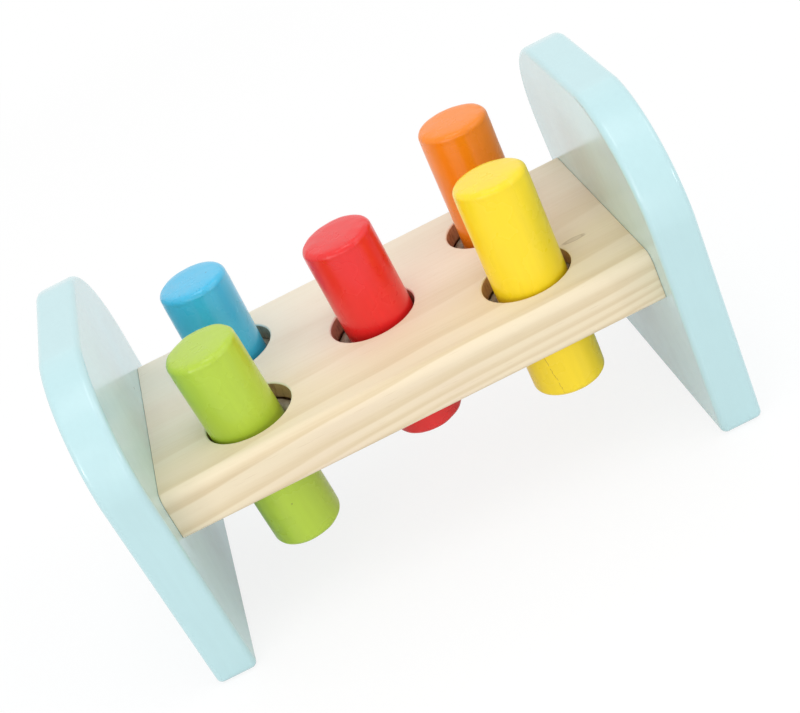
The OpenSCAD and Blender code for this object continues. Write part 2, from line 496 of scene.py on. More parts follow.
@dataclass(frozen=True)
class PineFinish:
    """Planed, unpainted pine cut below its pith, with its grain along the bench."""

    name: str = "planed_pine"
    outer_wood: Rgba = tint(237, 222, 193)
    inner_wood: Rgba = tint(245, 235, 216)
    late_wood: Rgba = tint(221, 201, 165)
    rosy_wood: Rgba = tint(233, 213, 192)
    pore_wood: Rgba = tint(192, 158, 118)
    # Bore walls: painted shade inside the holes, mottled like drill scorch
    shaded_bore_wood: Rgba = tint(202, 162, 128)
    scorch_and_shade_wood: Rgba = tint(150, 100, 76)
    glue_line: Rgba = tint(138, 108, 76)
    # Pale cream on the hole rims: a painted highlight
    rim_highlight_wood: Rgba = tint(255, 248, 232)
    resin: Rgba = tint(150, 122, 92)
    pith: Point = (0.0, 25.0 * MM, 168.5 * MM)
    drift: float = 0.051
    wander: float = 5.0

    # Distance of each ring's dark end from the pith, the width over which the ring
    # darkens, and how dark it gets, in millimetres and shares
    rings: tuple[Point, ...] = (
        (106.7, 7.5, 0.42), (116.7, 5.0, 0.75), (123.5, 4.2, 0.95), (130.6, 4.0, 0.9),
        (133.9, 2.2, 0.85), (136.3, 1.7, 0.8), (138.8, 1.7, 0.8),
    )
    ring_from: float = 96.0
    ring_to: float = 144.0
    ring_lead: float = 0.35
    ring_drop: float = 0.3
    early_level: float = 0.06
    clear_level: float = 0.02
    last_level: float = 0.1

    # Where each colour begins to show and is full, and its greatest share
    sapwood: Span = (102.0, 111.0)
    rosy_step: Span = (0.45, 0.7)
    rosy_share: float = 0.45
    streak_step: Span = (0.42, 0.66)
    streak_share: float = 0.09
    broken_step: Span = (0.3, 0.62)
    broken_least: float = 0.75
    pore_share: float = 0.2
    # Painted shade on the bore walls, in scorch-like patches
    scorch_and_shade_grain: Point = (0.9, 0.9, 0.28)
    scorch_and_shade_step: Span = (0.46, 0.68)
    scorch_and_shade_share: float = 0.75
    bore_shade_share: float = 0.85
    seam_step: Span = (0.1, 0.75)
    seam_share: float = 0.5

    # The resin pocket, in millimetres from the model's origin, and its leaf shape
    resin_place: Point = (70.7, -17.0, 70.5)
    resin_reach: Point = (4.6, 1.5, 4.0)
    resin_grain: Point = (0.25, 1.2, 1.2)
    resin_wobble: float = 0.7
    resin_outline: float = 0.72
    resin_line: float = 0.4
    resin_line_share: float = 0.8
    resin_inside: Span = (0.4, 1.1)
    resin_inside_share: float = 0.45
    resin_share: float = 0.55

    # How rough the surface is and what stands on it
    fibre_step: Span = (0.3, 0.7)
    fibre_rough: Span = (0.5, 0.62)
    late_polish: float = 0.06
    bore_rough: float = 0.25
    fibre_height: float = 0.6
    pore_depth: float = 0.5
    late_height: float = 0.25
    bump_strength: float = 0.35
    bump_distance: float = 0.06 * MM
    specular: float = 0.18

    def _late_share(self, w: Wiring, distance: Socket) -> Socket:
        """Lays the growth rings out over the distance from the pith.

        Args:
            w: The material's wiring.
            distance: The wandering distance from the pith, in millimetres.

        Returns:
            The share of dark late wood.
        """
        span = self.ring_to - self.ring_from
        ramp = w.add("ShaderNodeValToRGB", {"Fac": w.math("DIVIDE", w.minus(distance, self.ring_from), span)})
        stops = ramp.color_ramp
        stops.interpolation = "EASE"
        first, last = stops.elements
        first.position, first.color = 0.0, grey(0.0)
        last.position, last.color = 1.0, grey(self.last_level)
        for end, width, depth in self.rings:
            course = (
                (end - width, self.early_level), (end - self.ring_lead, depth),
                (end + self.ring_drop, self.clear_level),
            )
            for place, level in course:
                stops.elements.new((place - self.ring_from) / span).color = grey(level)
        return ramp.outputs[0]

    def _resin_mask(self, w: Wiring, place: Socket) -> Socket:
        """Draws the small resin pocket in the upper face as a leaf-shaped outline.

        Args:
            w: The material's wiring.
            place: The object place, in millimetres.

        Returns:
            The resin's mask.
        """
        unit = tuple(1 / reach for reach in self.resin_reach)
        local = w.stretch(w.vector("SUBTRACT", place, self.resin_place), unit)
        far = w.plus(w.reach(local), w.sway(w.grain(place, self.resin_grain), self.resin_wobble))
        edge = w.fall(w.math("ABSOLUTE", w.minus(far, self.resin_outline)), 0.0, self.resin_line)
        inside = w.rise(far, *self.resin_inside, self.resin_inside_share, 0.0)
        return w.math("MAXIMUM", w.times(edge, self.resin_line_share), inside)

    def _colour(self, w: Wiring, grain: bpy.types.NodeOutputs, late: Socket) -> Socket:
        """Lays the colours over each other, from the plain wood through the painted shade of the bores and
        the painted highlight of the rims to the glue line.

        Args:
            w: The material's wiring.
            grain: What the wood fibre group gives.
            late: The share of late wood.

        Returns:
            The colour.
        """
        place, fibre = w.object_place(), grain["Fibre"]
        colour = w.blend(w.rise(grain["Ring Distance"], *self.sapwood), self.inner_wood, self.outer_wood)
        rosy = w.rise(grain["Clouds"], *self.rosy_step, 0.0, self.rosy_share)
        colour = w.blend(rosy, colour, self.rosy_wood)
        streak = w.rise(fibre, *self.streak_step, 0.0, self.streak_share)
        broken = w.times(late, w.rise(fibre, *self.broken_step, self.broken_least, 1.0))
        colour = w.blend(w.math("ADD", broken, streak, clamp=True), colour, self.late_wood)
        colour = w.blend(w.times(grain["Pores"], self.pore_share), colour, self.pore_wood)
        colour = w.blend(w.times(self._resin_mask(w, place), self.resin_share), colour, self.resin)
        # The bore walls darken: painted shade inside the holes, mottled like drill scorch
        scorch_and_shade_noise = w.grain(place, self.scorch_and_shade_grain, detail=3.0, rough=0.6)
        scorch_and_shade = w.rise(scorch_and_shade_noise, *self.scorch_and_shade_step, 0.0, self.scorch_and_shade_share)
        shaded_bore_colour = w.blend(scorch_and_shade, self.shaded_bore_wood, self.scorch_and_shade_wood)
        colour = w.blend(w.times(w.attribute("bore"), self.bore_shade_share), colour, shaded_bore_colour)
        # A pale cream band on the eased hole rims: a painted highlight
        colour = w.blend(w.attribute("rim"), colour, self.rim_highlight_wood)
        seam = w.rise(w.attribute("seam"), *self.seam_step, 0.0, self.seam_share)
        return w.blend(seam, colour, self.glue_line)

    def material(self, effects: Effects) -> bpy.types.Material:
        """Builds the material.

        Args:
            effects: The shared effects.

        Returns:
            The pine.
        """
        material, w, shader = open_material(self.name)
        feeds = {"Place": w.object_place(self.pith), "Wander": self.wander, "Drift": self.drift}
        grain = w.group(effects.wood_fibre, feeds).outputs
        late = self._late_share(w, grain["Ring Distance"])
        w.feed(shader.inputs["Base Color"], self._colour(w, grain, late))

        rough = w.rise(grain["Fibre"], *self.fibre_step, *self.fibre_rough)
        rough = w.minus(rough, w.times(late, self.late_polish))
        rough = w.plus(rough, w.times(w.attribute("bore"), self.bore_rough))
        w.feed(shader.inputs["Roughness"], rough)
        height = w.times(grain["Fibre"], self.fibre_height)
        height = w.minus(height, w.times(grain["Pores"], self.pore_depth))
        height = w.plus(height, w.times(late, self.late_height))
        w.feed(shader.inputs["Normal"], w.bump(self.bump_strength, self.bump_distance, height))
        shader.inputs["Specular IOR Level"].default_value = self.specular
        return material


@dataclass(frozen=True)
class PaintFinish:
    """A satin paint on wood, brushed along one axis of the piece."""

    name: str
    colour: Rgba
    unevenness: float
    gloss: float
    coat: float
    centre: Point = (0, 0, 0)
    turn: Point = (0, 0, 0)
    coat_rough: float = 0.16
    flecks: tuple[Fleck, ...] = ()
    crack: Optional[Crack] = None
    bump_strength: float = 0.4
    bump_distance: float = 0.1 * MM
    refraction: float = 1.5

    # Lumps on a peg's ends, in millimetres from its middle and from its axis
    blisters: float = 0.0
    end_from: float = 0.0
    end_fade: float = 2.5
    rim_step: Span = (7.5, 11.0)
    middle_share: float = 0.1

    def _ends(self, w: Wiring, place: Socket) -> Socket:
        """Marks the rims of both ends.

        Args:
            w: The material's wiring.
            place: The place in the peg's own frame, in millimetres.

        Returns:
            How much the lumps show.
        """
        from_middle = w.math("ABSOLUTE", w.parts(place)[2])
        near_end = w.rise(from_middle, self.end_from, self.end_from + self.end_fade)
        from_axis = w.reach(w.stretch(place, (1.0, 1.0, 0.0)))
        return w.times(near_end, w.rise(from_axis, *self.rim_step, self.middle_share, 1.0))

    def material(self, effects: Effects) -> bpy.types.Material:
        """Builds the material.

        Args:
            effects: The shared effects.

        Returns:
            The paint.
        """
        material, w, shader = open_material(self.name)
        place = w.object_place(self.centre, self.turn)
        feeds = {"Place": place, "Colour": self.colour, "Unevenness": self.unevenness, "Gloss": self.gloss}
        if self.end_from:
            feeds |= {"Ends": self._ends(w, place), "Blisters": self.blisters}
        coat = w.group(effects.brushed_coat, feeds).outputs
        colour, height = coat["Colour"], coat["Height"]
        for fleck in self.flecks:
            spot = {"Place": place, "Centre": fleck.place, "Radius": fleck.radius}
            colour = w.blend(w.group(effects.fleck, spot).outputs["Mask"], colour, fleck.colour)
        if self.crack:
            mask = self.crack.mask(w, place)
            colour = w.blend(w.times(mask, self.crack.share), colour, self.crack.colour)
            height = w.minus(height, w.times(mask, self.crack.depth))
        w.feed(shader.inputs["Base Color"], colour)
        w.feed(shader.inputs["Roughness"], coat["Roughness"])
        w.feed(shader.inputs["Normal"], w.bump(self.bump_strength, self.bump_distance, height))
        shader.inputs["IOR"].default_value = self.refraction
        shader.inputs["Coat Weight"].default_value = self.coat
        shader.inputs["Coat Roughness"].default_value = self.coat_rough
        return material


@dataclass(frozen=True)
class RubberFinish:
    """Milky elastic rubber with a faint moulded skin."""

    name: str = "milky_rubber"
    colour: Rgba = tint(176, 164, 144)
    shade: Rgba = tint(148, 134, 114)
    patch_scale: float = 0.35
    shade_step: Span = (0.35, 0.7)
    rough_step: Span = (0.3, 0.7)
    rough: Span = (0.3, 0.45)
    skin_scale: float = 2.2
    bump_strength: float = 0.25
    bump_distance: float = 0.05 * MM
    milkiness: float = 0.3
    light_reach: Point = (1.2 * MM, 1.0 * MM, 0.8 * MM)

    def material(self) -> bpy.types.Material:
        """Builds the material.

        Returns:
            The rubber.
        """
        material, w, shader = open_material(self.name)
        place = w.object_place()
        patches = w.noise(place, self.patch_scale, detail=3.0, rough=0.55)
        colour = w.blend(w.rise(patches, *self.shade_step), self.colour, self.shade)
        w.feed(shader.inputs["Base Color"], colour)
        w.feed(shader.inputs["Roughness"], w.rise(patches, *self.rough_step, *self.rough))
        skin = w.noise(place, self.skin_scale)
        w.feed(shader.inputs["Normal"], w.bump(self.bump_strength, self.bump_distance, skin))
        shader.inputs["Subsurface Weight"].default_value = self.milkiness
        shader.inputs["Subsurface Radius"].default_value = self.light_reach
        shader.inputs["Subsurface Scale"].default_value = 1.0
        return material


@dataclass(frozen=True)
class BeechFinish:
    """Turned beech for the dowels, with close rings and short flecks along X."""

    name: str = "turned_beech"
    pale: Rgba = tint(226, 196, 156)
    dark: Rgba = tint(192, 152, 108)
    pith: Point = (0.0, 30 * MM, 10 * MM)
    wander: float = 2.0
    drift: float = 0.02
    rings_per_mm: float = 0.55
    dark_share: float = 0.7
    fibre_step: Span = (0.3, 0.7)
    rough: Span = (0.5, 0.62)
    bump_strength: float = 0.4
    bump_distance: float = 0.06 * MM

    def material(self, effects: Effects) -> bpy.types.Material:
        """Builds the material.

        Args:
            effects: The shared effects.

        Returns:
            The beech.
        """
        material, w, shader = open_material(self.name)
        feeds = {"Place": w.object_place(self.pith), "Wander": self.wander, "Drift": self.drift}
        grain = w.group(effects.wood_fibre, feeds).outputs
        ring = w.math("FRACT", w.times(grain["Ring Distance"], self.rings_per_mm))
        share = w.times(w.math("ADD", ring, grain["Pores"], clamp=True), self.dark_share)
        w.feed(shader.inputs["Base Color"], w.blend(share, self.pale, self.dark))
        w.feed(shader.inputs["Roughness"], w.rise(grain["Fibre"], *self.fibre_step, *self.rough))
        w.feed(shader.inputs["Normal"], w.bump(self.bump_strength, self.bump_distance, grain["Fibre"]))
        return material


# Mesh making


def only_verts(geom: Iterable[Any]) -> list[Vert]:
    """Returns the vertices among the geometry that a bmesh operator gives."""
    return [item for item in geom if isinstance(item, Vert)]


@dataclass(frozen=True)
class Corner:
    """One corner of a flat section, with its rounding."""

    place: Vector
    radius: float = 0.0
    steps: int = 4


class Workpiece:
    """A mesh in the making, with the operations that the pieces share."""

    def __init__(self, name: str) -> None:
        """Starts an empty mesh under the piece's name."""
        self.name = name
        self.bm = bmesh.new()

    def section(self, corners: Sequence[Corner], drop: Callable[[Edge], bool]) -> list[Edge]:
        """Draws a flat section, rounds its corners and keeps its outline as wires.

        Args:
            corners: The corners in order.
            drop: Says which edges of the outline are left out.

        Returns:
            The edges that are kept.
        """
        bm = self.bm
        older = set(bm.faces)
        verts = [bm.verts.new(corner.place) for corner in corners]
        bm.faces.new(verts)
        for radius, steps in sorted({(c.radius, c.steps) for c in corners if c.radius}):
            round_here = [v for v, c in zip(verts, corners) if (c.radius, c.steps) == (radius, steps)]
            bmesh.ops.bevel(
                bm, geom=round_here, offset=radius, offset_type="OFFSET", segments=steps, profile=0.5,
                affect="VERTICES", material=-1, clamp_overlap=False,
            )
        face = next(f for f in bm.faces if f not in older)
        edges = list(face.edges)
        bmesh.ops.delete(bm, geom=[face], context="FACES_ONLY")
        gone = [e for e in edges if drop(e)]
        kept = [e for e in edges if not drop(e)]
        bmesh.ops.delete(bm, geom=gone, context="EDGES")
        return kept

    def spin(self, edges: Iterable[Edge], centre: Vector, axis: Point, steps: int) -> list[Vert]:
        """Turns a section all the way round an axis.

        Args:
            edges: The section's edges.
            centre: A point on the axis.
            axis: The axis.
            steps: How many steps the full turn has.

        Returns:
            The vertices of the turned surface.
        """
        edges = list(edges)
        ends = {v for e in edges for v in e.verts}
        before = set(self.bm.verts) - ends
        bmesh.ops.spin(
            self.bm, geom=edges + list(ends), cent=centre, axis=axis, dvec=(0, 0, 0),
            angle=math.tau, steps=steps, use_merge=True,
        )
        made = [v for v in self.bm.verts if v not in before]
        bmesh.ops.remove_doubles(self.bm, verts=made, dist=NEAR)
        return [v for v in self.bm.verts if v not in before]

    def open_edges(self, test: Callable[[Vector], bool]) -> list[Edge]:
        """Returns the open edges whose two ends both pass a test of place."""
        return [e for e in self.bm.edges if len(e.link_faces) < 2 and all(test(v.co) for v in e.verts)]

    def plate(self, edges: Sequence[Edge], normal: Point) -> None:
        """Fills a flat outline with its round openings left open."""
        bmesh.ops.triangle_fill(self.bm, use_beauty=True, edges=list(edges), normal=normal)

    def bore_cup(self, mouth: Vector, inward: float, radius: float, depth: float) -> None:
        """Adds the wall and bottom of a blind bore along X.

        Args:
            mouth: The middle of the bore's mouth.
            inward: The sign of X in which the bore goes.
            radius: The bore's radius.
            depth: The bore's depth.
        """
        deep = Vector((inward * depth, 0, 0))
        rise = Vector((0, 0, radius))
        corners = [Corner(mouth), Corner(mouth + rise), Corner(mouth + rise + deep), Corner(mouth + deep)]

        def spare(edge: Edge) -> bool:
            """Says whether an edge lies on the axis or across the mouth."""
            flat = all(abs(v.co.x - mouth.x) < NEAR for v in edge.verts)
            return flat or all(abs(v.co.z - mouth.z) < NEAR for v in edge.verts)

        self.spin(self.section(corners, spare), mouth, (1, 0, 0), BORE_TURN)

    def finish(
        self, body: str, node: str, slot: str, material: bpy.types.Material, crease: float = 32.0
    ) -> bpy.types.Object:
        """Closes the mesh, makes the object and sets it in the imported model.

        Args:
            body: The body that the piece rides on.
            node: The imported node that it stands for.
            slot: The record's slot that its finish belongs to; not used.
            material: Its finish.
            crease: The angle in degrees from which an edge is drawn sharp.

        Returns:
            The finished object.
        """
        bm = self.bm
        bmesh.ops.remove_doubles(bm, verts=list(bm.verts), dist=NEAR)
        bmesh.ops.recalc_face_normals(bm, faces=list(bm.faces))
        loose = sum(1 for e in bm.edges if len(e.link_faces) != 2)
        mesh = bpy.data.meshes.new(self.name)
        bm.to_mesh(mesh)
        bm.free()
        mesh.shade_smooth()
        mesh.set_sharp_from_angle(angle=math.radians(crease))
        mesh.materials.append(material)
        piece = bpy.data.objects.new(self.name, mesh)
        bpy.context.scene.collection.objects.link(piece)
        normals = piece.modifiers.new("even_normals", "WEIGHTED_NORMAL")
        normals.keep_sharp = True
        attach(piece, body)
        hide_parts(node)
        LOG.info("%s: %d faces, %d open edges, for %s", self.name, len(mesh.polygons), loose, node)
        return piece


# Sub-assemblies


@dataclass
class DowelJoint:
    """The dowel bores that both sides of a seam share."""

    spacing: float = DOWEL_SPREAD * BOARD_DEPTH
    height: float = BOARD_TOP - BOARD_THICKNESS / 2
    radius: float = 4.06 * MM
    in_board: float = 13.5 * MM
    in_end: float = 10.5 * MM

    def mouths(self, seam: float) -> list[Vector]:
        """Returns the middles of the three bore mouths on the seam at the given X."""
        return [Vector((seam, step * self.spacing, self.height)) for step in (-1, 0, 1)]

    def dress(self, effects: Effects) -> None:
        """Gives the six hidden dowels their beech.

        Args:
            effects: The shared effects.
        """
        beech = BeechFinish().material(effects)
        for name, node in frame["nodes"].items():
            if name.endswith("_dowel"):
                node.data.materials.clear()
                node.data.materials.append(beech)
                LOG.info("%s: dressed in %s", name, beech.name)


@dataclass
class BenchBoard:
    """The pine board with five grooved holes and rounded long edges."""

    length: float = BOARD_LENGTH
    depth: float = BOARD_DEPTH
    thickness: float = BOARD_THICKNESS
    top: float = BOARD_TOP
    upper_radius: float = 4 * MM
    upper_steps: int = 10
    lower_radius: float = 1.6 * MM
    lower_steps: int = 5
    end_ease: float = 0.2 * MM
    hole_radius: float = 15.5 * MM
    hole_reach: float = HOLE_REACH * BOARD_LENGTH
    hole_offset: float = HOLE_OFFSET * BOARD_DEPTH
    rim_radius: float = 0.7 * MM
    rim_steps: int = 5
    groove_radius: float = 19.735 * MM
    groove_height: float = 5 * MM
    lip_radius: float = 0.25 * MM
    lip_steps: int = 3
    section_margin: float = 4 * MM

    # Where the wall's painted shade and the rim's painted highlight lie, from the board's faces and as shares
    # of the rim
    bore_from: float = 0.8
    rim_highlight_from: float = 0.1 * MM
    rim_highlight_to: float = 0.9

    @property
    def underside(self) -> float:
        """Height of the lower face."""
        return self.top - self.thickness

    def holes(self) -> list[Vector]:
        """Returns the five hole centres on the middle plane."""
        middle = self.top - self.thickness / 2
        outer = [(i * self.hole_reach, j * self.hole_offset) for i in (-1, 1) for j in (-1, 1)]
        return [Vector((x, y, middle)) for x, y in [(0.0, 0.0), *outer]]

    def _belt(self, work: Workpiece) -> None:
        """Runs the rounded section along the board, with its flat faces left open.

        Args:
            work: The piece in the making.
        """
        bm, half, wide = work.bm, self.length / 2 - self.end_ease, self.depth / 2
        corners = [
            Corner(Vector((-half, -wide, self.underside)), self.lower_radius, self.lower_steps),
            Corner(Vector((-half, wide, self.underside)), self.lower_radius, self.lower_steps),
            Corner(Vector((-half, wide, self.top)), self.upper_radius, self.upper_steps),
            Corner(Vector((-half, -wide, self.top)), self.upper_radius, self.upper_steps),
        ]
        loop = work.section(corners, lambda edge: False)
        far = only_verts(bmesh.ops.extrude_edge_only(bm, edges=loop)["geom"])
        bmesh.ops.translate(bm, verts=far, vec=(2 * half, 0, 0))
        flats = [f for f in bm.faces if all(abs(v.co.z - self.top) < NEAR for v in f.verts)]
        flats += [f for f in bm.faces if all(abs(v.co.z - self.underside) < NEAR for v in f.verts)]
        bmesh.ops.delete(bm, geom=flats, context="FACES_ONLY")
        centre = Matrix.Translation((0, 0, -(self.top + self.underside) / 2))
        shrink = (1, 1 - 2 * self.end_ease / self.depth, 1 - 2 * self.end_ease / self.thickness)
        for sign in (-1, 1):
            rim = work.open_edges(lambda co: abs(co.x - sign * half) < NEAR)
            lip = only_verts(bmesh.ops.extrude_edge_only(bm, edges=rim)["geom"])
            bmesh.ops.translate(bm, verts=lip, vec=(sign * self.end_ease, 0, 0))
            bmesh.ops.scale(bm, verts=lip, vec=shrink, space=centre)

    def _liner(self, work: Workpiece, hole: Vector) -> None:
        """Turns the wall of one hole, with eased rims and the ring's groove.

        Args:
            work: The piece in the making.
            hole: The hole's middle.
        """
        rise, lip = self.thickness / 2, self.groove_height / 2
        outer = self.groove_radius + self.section_margin
        eased, softened = (self.rim_radius, self.rim_steps), (self.lip_radius, self.lip_steps)
        sharp = (0.0, 0)
        rows = [
            (self.hole_radius, rise, eased), (self.hole_radius, lip, softened),
            (self.groove_radius, lip, sharp), (self.groove_radius, -lip, sharp),
            (self.hole_radius, -lip, softened), (self.hole_radius, -rise, eased),
            (outer, -rise, sharp), (outer, rise, sharp),
        ]
        corners = [Corner(hole + Vector((r, 0, z)), *rounding) for r, z, rounding in rows]

        def spare(edge: Edge) -> bool:
            """Says whether an edge lies outside the wall."""
            return any(abs(v.co.x - hole.x - outer) < NEAR for v in edge.verts)

        verts = work.spin(work.section(corners, spare), hole, (0, 0, 1), FINE_TURN)
        layers = work.bm.verts.layers.float
        bore_mark, rim_highlight_mark = layers["bore"], layers["rim"]
        # The bore mark carries painted shade and more roughness on the walls, the rim mark a painted
        # highlight on the eased rims
        for vert in verts:
            inside = rise - abs(vert.co.z - hole.z)
            vert[bore_mark] = 1.0 if inside > self.bore_from * self.rim_radius else 0.0
            vert[rim_highlight_mark] = 1.0 if self.rim_highlight_from < inside < self.rim_highlight_to * self.rim_radius else 0.0

    def build(self, finish: bpy.types.Material, joint: DowelJoint) -> bpy.types.Object:
        """Builds the board and dresses it.

        Args:
            finish: The pine.
            joint: The dowel bores in both ends.

        Returns:
            The finished board.
        """
        work = Workpiece("pine_bench_board")
        for label in ("bore", "rim", "seam"):
            work.bm.verts.layers.float.new(label)
        self._belt(work)
        for hole in self.holes():
            self._liner(work, hole)
        for sign in (-1, 1):
            seam = sign * self.length / 2
            for mouth in joint.mouths(seam):
                work.bore_cup(mouth, -sign, joint.radius, joint.in_board)
            work.plate(work.open_edges(lambda co: abs(co.x - seam) < NEAR), (sign, 0, 0))
        for level, way in ((self.top, 1), (self.underside, -1)):
            work.plate(work.open_edges(lambda co: abs(co.z - level) < NEAR), (0, 0, way))
        seam_mark = work.bm.verts.layers.float["seam"]
        for vert in work.bm.verts:
            vert[seam_mark] = 1.0 if abs(vert.co.x) > self.length / 2 - NEAR else 0.0
        return work.finish("bench", "bench_board", "bench_pine", finish)


@dataclass
class EndBoard:
    """One painted end board: sloping sides, two shoulders and rounded edges."""

    side: Side
    seam: float = BOARD_LENGTH / 2
    thickness: float = 14.6 * MM
    height: float = 120.5 * MM
    half_foot: float = 55.5 * MM
    slope: float = math.radians(3.7)
    shoulder_radius: float = 40 * MM
    shoulder_break: float = math.radians(6)
    shoulder_steps: int = 28
    edge_radius: float = 2.2 * MM
    edge_steps: int = 7
    outline_step: float = 4 * MM

    def _outline(self, work: Workpiece) -> bmesh.types.BMFace:
        """Draws half the outline, turns its shoulder and mirrors it.

        Args:
            work: The piece in the making.

        Returns:
            The flat face inside the outline, on the seam.
        """
        bm, x = work.bm, self.side.value * self.seam
        deep = self.shoulder_radius * math.cos(self.shoulder_break)
        centre_z = self.height - deep
        centre_y = self.half_foot + centre_z * math.tan(self.slope) - deep / math.cos(self.slope)
        begin = self.shoulder_break - self.slope
        reach = Vector((0, math.cos(begin), math.sin(begin))) * self.shoulder_radius
        foot = [bm.verts.new((x, y, 0)) for y in (0, self.half_foot)]
        shoulder = bm.verts.new(Vector((x, centre_y, centre_z)) + reach)
        bm.edges.new(foot)
        bm.edges.new((foot[1], shoulder))
        turned = bmesh.ops.spin(
            bm, geom=[shoulder], cent=(x, centre_y, centre_z), axis=(1, 0, 0), dvec=(0, 0, 0),
            angle=math.pi / 2 - self.shoulder_break - begin, steps=self.shoulder_steps,
        )
        last = only_verts(turned["geom_last"])[0]
        bm.edges.new((last, bm.verts.new((x, 0, self.height))))
        whole = [*bm.verts, *bm.edges]
        bmesh.ops.mirror(bm, geom=whole, matrix=Matrix.Identity(4), merge_dist=NEAR, axis="Y")
        bmesh.ops.remove_doubles(bm, verts=list(bm.verts), dist=NEAR)
        for long in [e for e in bm.edges if e.calc_length() > 2 * self.outline_step]:
            cuts = round(long.calc_length() / self.outline_step) - 1
            bmesh.ops.subdivide_edges(bm, edges=[long], cuts=cuts)
        bmesh.ops.edgeloop_fill(bm, edges=list(bm.edges))
        return next(iter(bm.faces))

    def _at_foot_corner(self, place: Vector) -> bool:
        """Says whether a place lies on one of the foot's two corners."""
        return place.z < NEAR and abs(abs(place.y) - self.half_foot) < NEAR

    def build(self, finish: bpy.types.Material, joint: DowelJoint) -> bpy.types.Object:
        """Builds the board and dresses it.

        Args:
            finish: The paint.
            joint: The dowel bores in its inner face.

        Returns:
            The finished board.
        """
        sign, name = self.side.value, self.side.name.lower()
        work = Workpiece(f"{name}_end_panel")
        bm, seam = work.bm, sign * self.seam
        face = self._outline(work)
        far = only_verts(bmesh.ops.extrude_face_region(bm, geom=[face])["geom"])
        bmesh.ops.translate(bm, verts=far, vec=(sign * self.thickness, 0, 0))
        around = [e for e in bm.edges if abs(e.verts[0].co.x - e.verts[1].co.x) < NEAR]
        across = [e for e in bm.edges if e not in around and all(self._at_foot_corner(v.co) for v in e.verts)]
        bmesh.ops.bevel(
            bm, geom=around + across, offset=self.edge_radius, offset_type="OFFSET", segments=self.edge_steps,
            profile=0.5, affect="EDGES", material=-1, clamp_overlap=False,
        )
        inner = [f for f in bm.faces if all(abs(v.co.x - seam) < NEAR for v in f.verts)]
        bmesh.ops.delete(bm, geom=inner, context="FACES_ONLY")
        for mouth in joint.mouths(seam):
            work.bore_cup(mouth, sign, joint.radius, joint.in_end)
        work.plate(work.open_edges(lambda co: abs(co.x - seam) < NEAR), (-sign, 0, 0))
        return work.finish("bench", f"{name}_end_board", "end_paint", finish)


@dataclass
class GripRing:
    """The elastic ring that holds one peg in its groove."""

    colour: PegColour
    section: float = 4.9 * MM
    section_steps: int = 28
    fit: float = 0.06 * MM
    pressed: float = 0.09 * MM

    def build(self, finish: bpy.types.Material) -> bpy.types.Object:
        """Turns the ring, presses its inner face flat and dresses it.

        Args:
            finish: The rubber.

        Returns:
            The finished ring.
        """
        node = f"{self.colour.value}_ring"
        low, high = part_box(node)
        centre = (low + high) / 2
        work = Workpiece(f"{self.colour.value}_rubber_ring")
        radius = self.section / 2
        middle = centre + Vector((PEG_RADIUS + self.fit + radius, 0, 0))
        upright = Matrix.Translation(middle) @ Matrix.Rotation(math.pi / 2, 4, "X")
        bmesh.ops.create_circle(
            work.bm, cap_ends=False, segments=self.section_steps, radius=radius, matrix=upright
        )
        verts = work.spin(list(work.bm.edges), centre, (0, 0, 1), RING_TURN)
        bore = PEG_RADIUS + self.fit + self.pressed
        for vert in verts:
            arm = Vector((vert.co.x - centre.x, vert.co.y - centre.y, 0))
            if arm.length < bore:
                vert.co += arm.normalized() * (bore - arm.length)
        return work.finish("bench", node, "ring_rubber", finish, crease=50.0)


